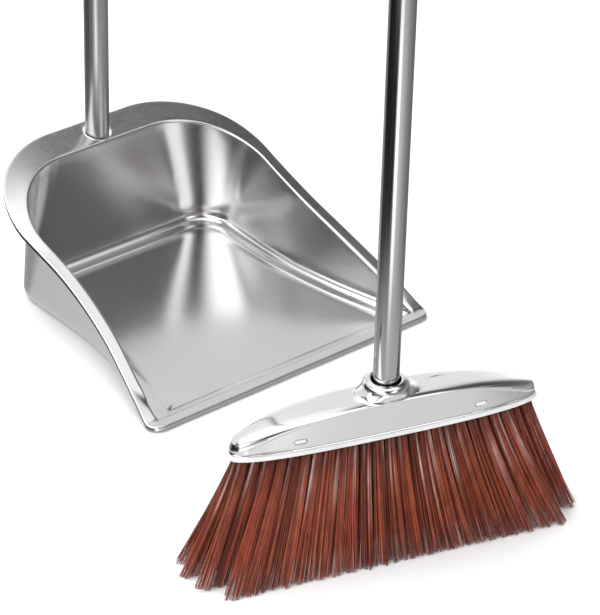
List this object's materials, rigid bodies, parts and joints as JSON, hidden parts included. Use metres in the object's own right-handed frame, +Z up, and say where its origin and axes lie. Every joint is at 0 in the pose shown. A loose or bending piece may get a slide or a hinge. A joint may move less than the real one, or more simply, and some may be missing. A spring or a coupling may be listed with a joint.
{
  "type": "dust pan and broom set",
  "caption": "Upright dust pan with a deep pressed pan and long tube handle, and a long-handled broom with a covered head and flared bristles; a clip joins the handles.",
  "frame": {"origin": "middle of the set's footprint, on the floor", "axes": "+Z up along the handles, -Y out of the pan's open front, +X to the right seen from the front"},
  "size_m": [0.4132, 0.6088, 1.46],
  "materials": {
    "pan_steel": "satin pressed stainless sheet with soft broad highlights",
    "tube_steel": "brushed along the tube, semi-bright",
    "cover_steel": "polished pressed stainless sheet",
    "cap_metal": "polished domed cap",
    "screw_steel": "plain bright screw",
    "white_plastic": "white moulded plastic",
    "clip_plastic": "translucent white moulded plastic",
    "loop_plastic": "clear flexible plastic rod",
    "dark_plastic": "dark moulded plastic, mostly hidden in the tubes",
    "bristles": "glossy red-brown plastic filaments"
  },
  "bodies": {
    "dustpan": {"pan_body": "pan_steel", "pan_handle_cup": "pan_steel", "pan_cup_screw": "screw_steel", "pan_tube_1": "tube_steel", "pan_tube_2": "tube_steel", "pan_tube_3": "tube_steel", "pan_tube_4": "tube_steel", "pan_coupler_1": "dark_plastic", "pan_coupler_2": "dark_plastic", "pan_coupler_3": "dark_plastic", "pan_end_cap": "cap_metal"},
    "broom": {"head_cover": "cover_steel", "bristle_block": "white_plastic", "head_stud": "dark_plastic", "bristle_row_1": "bristles", "bristle_row_2": "bristles", "bristle_row_3": "bristles", "bristle_row_4": "bristles", "bristle_row_5": "bristles", "broom_tube_1": "tube_steel", "broom_tube_2": "tube_steel", "broom_tube_3": "tube_steel", "broom_tube_4": "tube_steel", "broom_coupler_1": "dark_plastic", "broom_coupler_2": "dark_plastic", "broom_coupler_3": "dark_plastic", "broom_end_cap": "cap_metal"},
    "pan_hang_loop": {"pan_hang_loop": "loop_plastic"},
    "broom_hang_loop": {"broom_hang_loop": "loop_plastic"},
    "handle_clip": {"handle_clip": "clip_plastic"}
  },
  "joints": [
    {"name": "broom_lift", "type": "slide", "parent": "dustpan", "child": "broom", "axis": [0, 0, 1], "range_m": [0, 0.3]},
    {"name": "pan_loop_swing", "type": "hinge", "parent": "dustpan", "child": "pan_hang_loop", "pos_m": [0.05082, 0.28794, 1.328], "axis": [-1, 0, 0], "range_deg": [0, 316]},
    {"name": "broom_loop_swing", "type": "hinge", "parent": "broom", "child": "broom_hang_loop", "pos_m": [-0.04468, -0.22206, 1.45], "axis": [-1, 0, 0], "range_deg": [0, 318]},
    {"name": "clip_slide", "type": "slide", "parent": "broom", "child": "handle_clip", "axis": [0, 0, 1], "range_m": [-0.5, 0.3]}
  ]
}
